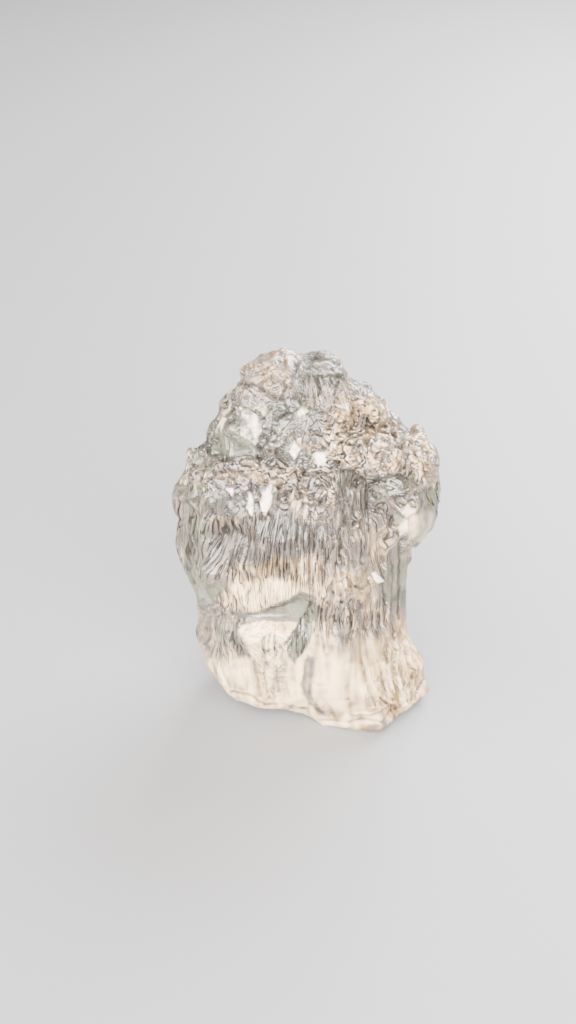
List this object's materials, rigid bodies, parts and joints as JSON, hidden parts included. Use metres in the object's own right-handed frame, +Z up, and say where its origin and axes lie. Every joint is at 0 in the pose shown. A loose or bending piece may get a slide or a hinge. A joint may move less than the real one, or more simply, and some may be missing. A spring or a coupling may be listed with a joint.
{
  "type": "rough phenakite crystal",
  "caption": "Rough clear crystal: a stepped, etched hexagonal prism with a blunt knob on top, an overhanging shoulder and a flat broken base it stands on.",
  "frame": {"origin": "centre of the stone's box, on the flat broken base", "axes": "+Z up along the crystal's long axis; -Y is the side that the picture shows, +X to its right"},
  "size_m": [0.0186, 0.0138, 0.0269],
  "materials": {
    "clear_phenakite": "clear to milky, etched and frosted in zones, vitreous, faintly warm"
  },
  "bodies": {
    "root": {"phenakite_crystal": "clear_phenakite"}
  },
  "joints": []
}
